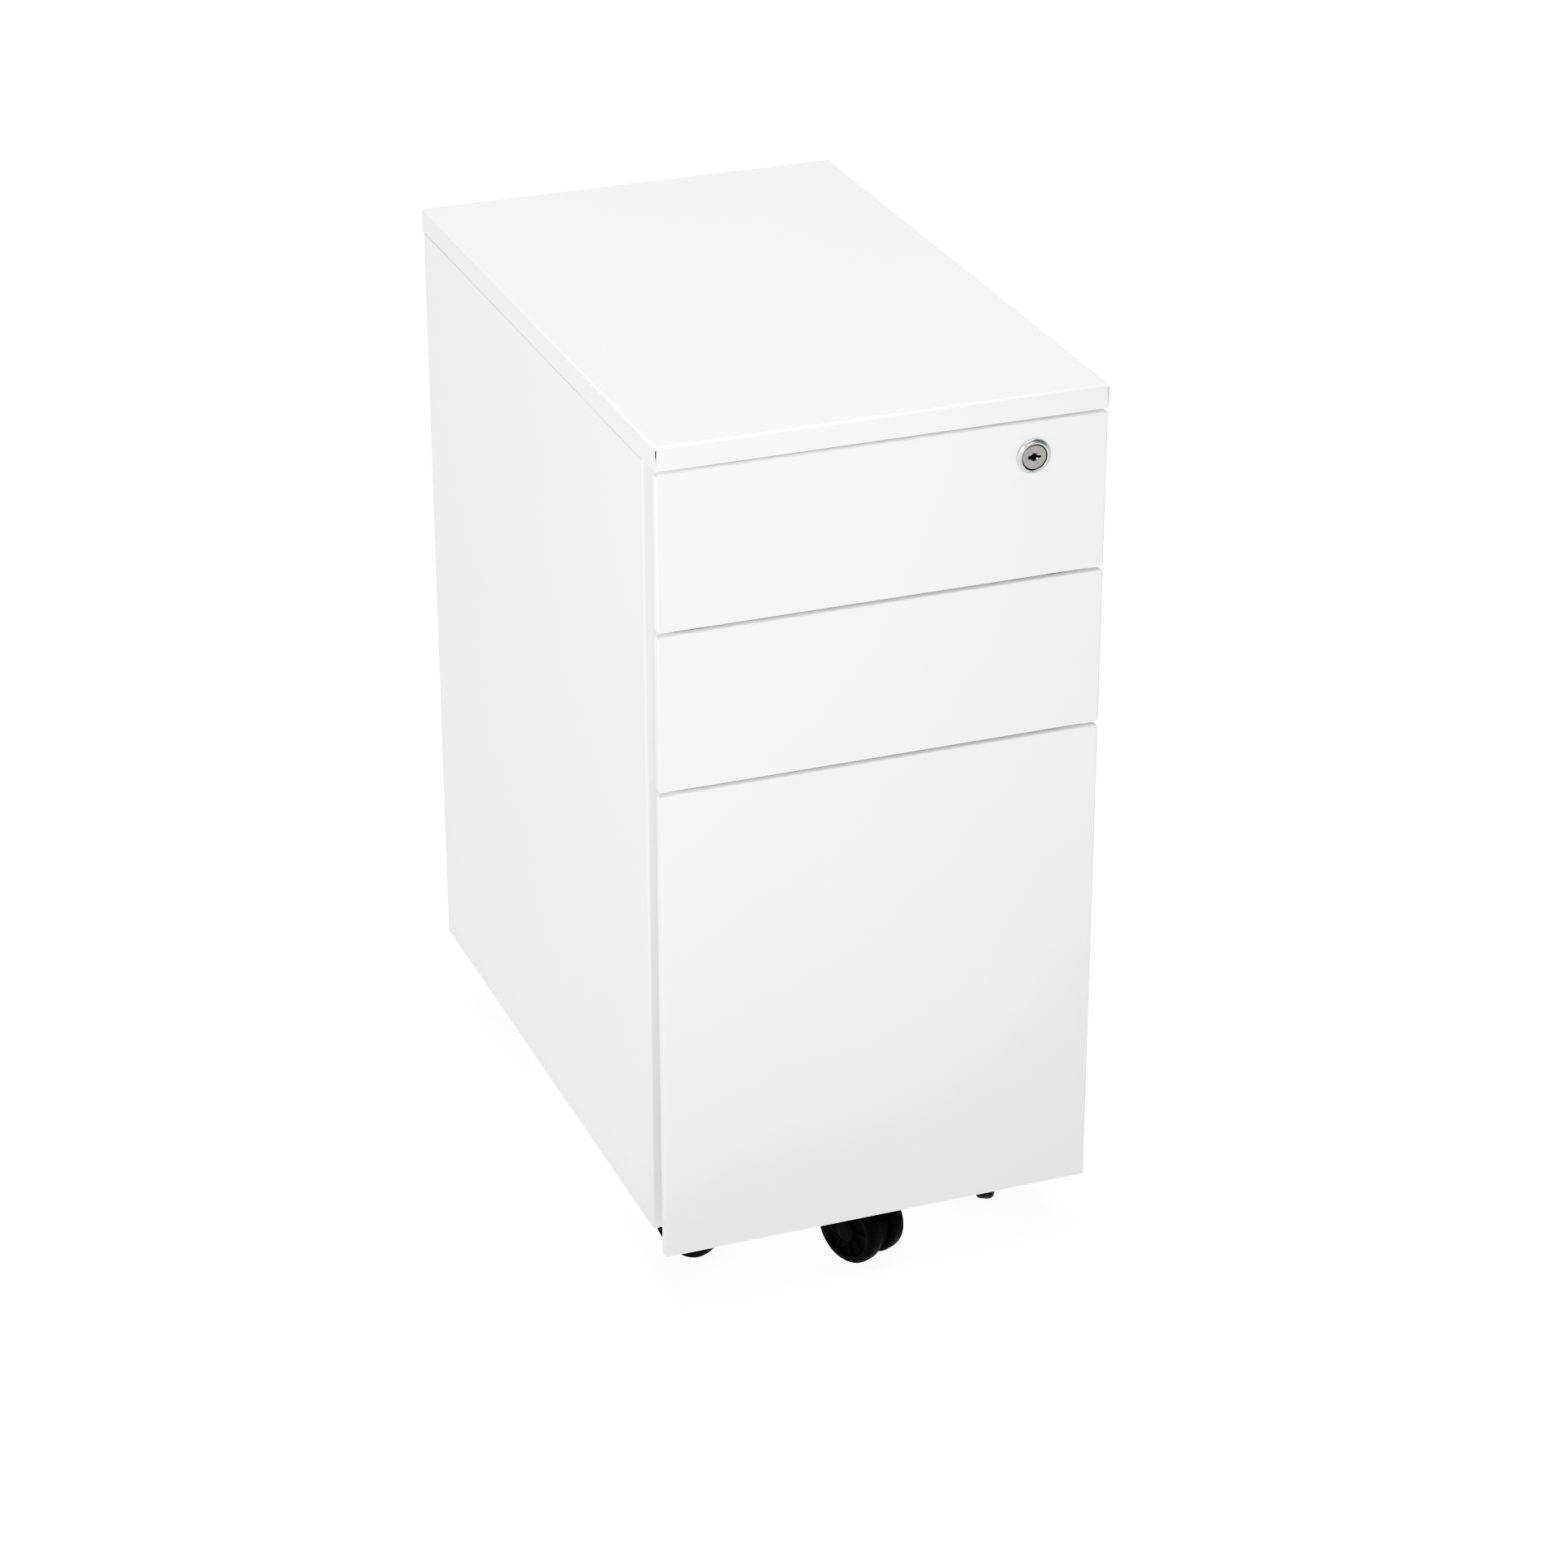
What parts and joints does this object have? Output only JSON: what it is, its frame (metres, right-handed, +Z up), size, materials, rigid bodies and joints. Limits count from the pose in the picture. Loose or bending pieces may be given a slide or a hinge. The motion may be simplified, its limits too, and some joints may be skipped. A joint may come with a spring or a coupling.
{
  "type": "mobile pedestal filing cabinet",
  "caption": "Slim folded-steel pedestal cabinet with shallow drawers over a deep file drawer, side finger gaps, a cam lock and twin-wheel castors.",
  "frame": {"origin": "on the floor, under the middle of the cabinet", "axes": "+X to the right seen from the front, +Z up, drawer fronts face -Y"},
  "size_m": [0.3, 0.4789, 0.615],
  "materials": {
    "white_powder_coat": "white powder coat, fine low texture, satin",
    "zinc_steel": "bright zinc plating over pressed steel",
    "castor_housing": "black moulded nylon, satin",
    "castor_wheel": "black moulded nylon, slightly worn on the tread",
    "lock_chrome": "polished chrome plating",
    "lock_plug": "satin nickel, turned face"
  },
  "bodies": {
    "cabinet": {"top_cover": "white_powder_coat", "side_panel_right": "white_powder_coat", "side_panel_left": "white_powder_coat", "back_panel": "white_powder_coat", "base_pan": "white_powder_coat", "front_rail": "white_powder_coat", "rear_upright_right": "white_powder_coat", "rear_upright_left": "white_powder_coat", "runner_outer_top_right": "zinc_steel", "runner_outer_top_left": "zinc_steel", "runner_outer_middle_right": "zinc_steel", "runner_outer_middle_left": "zinc_steel", "runner_outer_file_right": "zinc_steel", "runner_outer_file_left": "zinc_steel", "castor_plate_front_left": "zinc_steel", "castor_plate_front_right": "zinc_steel", "castor_plate_rear_left": "zinc_steel", "castor_plate_rear_right": "zinc_steel"},
    "drawer_top": {"drawer_front_top": "white_powder_coat", "drawer_tray_top": "white_powder_coat", "runner_inner_top_right": "zinc_steel", "runner_inner_top_left": "zinc_steel", "lock_barrel": "lock_chrome"},
    "drawer_middle": {"drawer_front_middle": "white_powder_coat", "drawer_tray_middle": "white_powder_coat", "runner_inner_middle_right": "zinc_steel", "runner_inner_middle_left": "zinc_steel"},
    "drawer_file": {"drawer_front_file": "white_powder_coat", "drawer_tray_file": "white_powder_coat", "runner_inner_file_right": "zinc_steel", "runner_inner_file_left": "zinc_steel", "file_rail_front": "zinc_steel", "file_rail_rear": "zinc_steel", "anti_tip_bracket": "white_powder_coat", "castor_plate_anti_tip": "zinc_steel"},
    "file_slides": {"runner_middle_file_right": "zinc_steel", "runner_middle_file_left": "zinc_steel"},
    "lock_core": {"lock_plug": "lock_plug", "lock_cam": "zinc_steel"},
    "locking_bar": {"lock_bar": "zinc_steel"},
    "castor_front_left": {"castor_housing_front_left": "castor_housing"},
    "wheels_front_left": {"castor_wheel_front_left_a": "castor_wheel", "castor_wheel_front_left_b": "castor_wheel", "castor_axle_front_left": "zinc_steel"},
    "castor_front_right": {"castor_housing_front_right": "castor_housing"},
    "wheels_front_right": {"castor_wheel_front_right_a": "castor_wheel", "castor_wheel_front_right_b": "castor_wheel", "castor_axle_front_right": "zinc_steel"},
    "castor_rear_left": {"castor_housing_rear_left": "castor_housing"},
    "wheels_rear_left": {"castor_wheel_rear_left_a": "castor_wheel", "castor_wheel_rear_left_b": "castor_wheel", "castor_axle_rear_left": "zinc_steel"},
    "castor_rear_right": {"castor_housing_rear_right": "castor_housing"},
    "wheels_rear_right": {"castor_wheel_rear_right_a": "castor_wheel", "castor_wheel_rear_right_b": "castor_wheel", "castor_axle_rear_right": "zinc_steel"},
    "castor_anti_tip": {"castor_housing_anti_tip": "castor_housing"},
    "wheels_anti_tip": {"castor_wheel_anti_tip_a": "castor_wheel", "castor_wheel_anti_tip_b": "castor_wheel", "castor_axle_anti_tip": "zinc_steel"}
  },
  "joints": [
    {"name": "drawer_top_slide", "type": "slide", "parent": "cabinet", "child": "drawer_top", "axis": [0, -1, 0], "range_m": [0, 0.3]},
    {"name": "drawer_middle_slide", "type": "slide", "parent": "cabinet", "child": "drawer_middle", "axis": [0, -1, 0], "range_m": [0, 0.3]},
    {"name": "drawer_file_slide", "type": "slide", "parent": "cabinet", "child": "drawer_file", "axis": [0, -1, 0], "range_m": [0, 0.4]},
    {"name": "file_runner_slide", "type": "slide", "parent": "cabinet", "child": "file_slides", "axis": [0, -1, 0], "range_m": [0, 0.2]},
    {"name": "lock_turn", "type": "hinge", "parent": "drawer_top", "child": "lock_core", "pos_m": [0.0989, -0.238, 0.5743], "axis": [0, -1, 0], "range_deg": [0, 90]},
    {"name": "lock_bar_lift", "type": "slide", "parent": "cabinet", "child": "locking_bar", "axis": [0, 0, 1], "range_m": [0, 0.01697]},
    {"name": "castor_front_left_swivel", "type": "hinge", "parent": "cabinet", "child": "castor_front_left", "pos_m": [-0.108, -0.147, 0.0571], "axis": [0, 0, 1], "continuous": true},
    {"name": "castor_front_left_roll", "type": "hinge", "parent": "castor_front_left", "child": "wheels_front_left", "pos_m": [-0.09952, -0.16057, 0.025], "axis": [0.848, 0.5299, 0], "continuous": true},
    {"name": "castor_front_right_swivel", "type": "hinge", "parent": "cabinet", "child": "castor_front_right", "pos_m": [0.108, -0.147, 0.0571], "axis": [0, 0, 1], "continuous": true},
    {"name": "castor_front_right_roll", "type": "hinge", "parent": "castor_front_right", "child": "wheels_front_right", "pos_m": [0.10049, -0.16113, 0.025], "axis": [0.8829, -0.4695, 0], "continuous": true},
    {"name": "castor_rear_left_swivel", "type": "hinge", "parent": "cabinet", "child": "castor_rear_left", "pos_m": [-0.108, 0.18, 0.0571], "axis": [0, 0, 1], "continuous": true},
    {"name": "castor_rear_left_roll", "type": "hinge", "parent": "castor_rear_left", "child": "wheels_rear_left", "pos_m": [-0.09688, 0.16849, 0.025], "axis": [0.7193, 0.6947, 0], "continuous": true},
    {"name": "castor_rear_right_swivel", "type": "hinge", "parent": "cabinet", "child": "castor_rear_right", "pos_m": [0.108, 0.18, 0.0571], "axis": [0, 0, 1], "continuous": true},
    {"name": "castor_rear_right_roll", "type": "hinge", "parent": "castor_rear_right", "child": "wheels_rear_right", "pos_m": [0.11187, 0.16448, 0.025], "axis": [0.9703, 0.2419, 0], "continuous": true},
    {"name": "castor_anti_tip_swivel", "type": "hinge", "parent": "drawer_file", "child": "castor_anti_tip", "pos_m": [-0.006, -0.193, 0.0575], "axis": [0, 0, 1], "continuous": true},
    {"name": "castor_anti_tip_roll", "type": "hinge", "parent": "castor_anti_tip", "child": "wheels_anti_tip", "pos_m": [0.00076, -0.2075, 0.0254], "axis": [0.9063, 0.4226, 0], "continuous": true}
  ],
  "couplings": [
    {"joint": "file_runner_slide", "follows": "drawer_file_slide", "ratio": 0.5},
    {"joint": "lock_turn", "follows": "lock_bar_lift", "rad_per_m": 92.56}
  ]
}
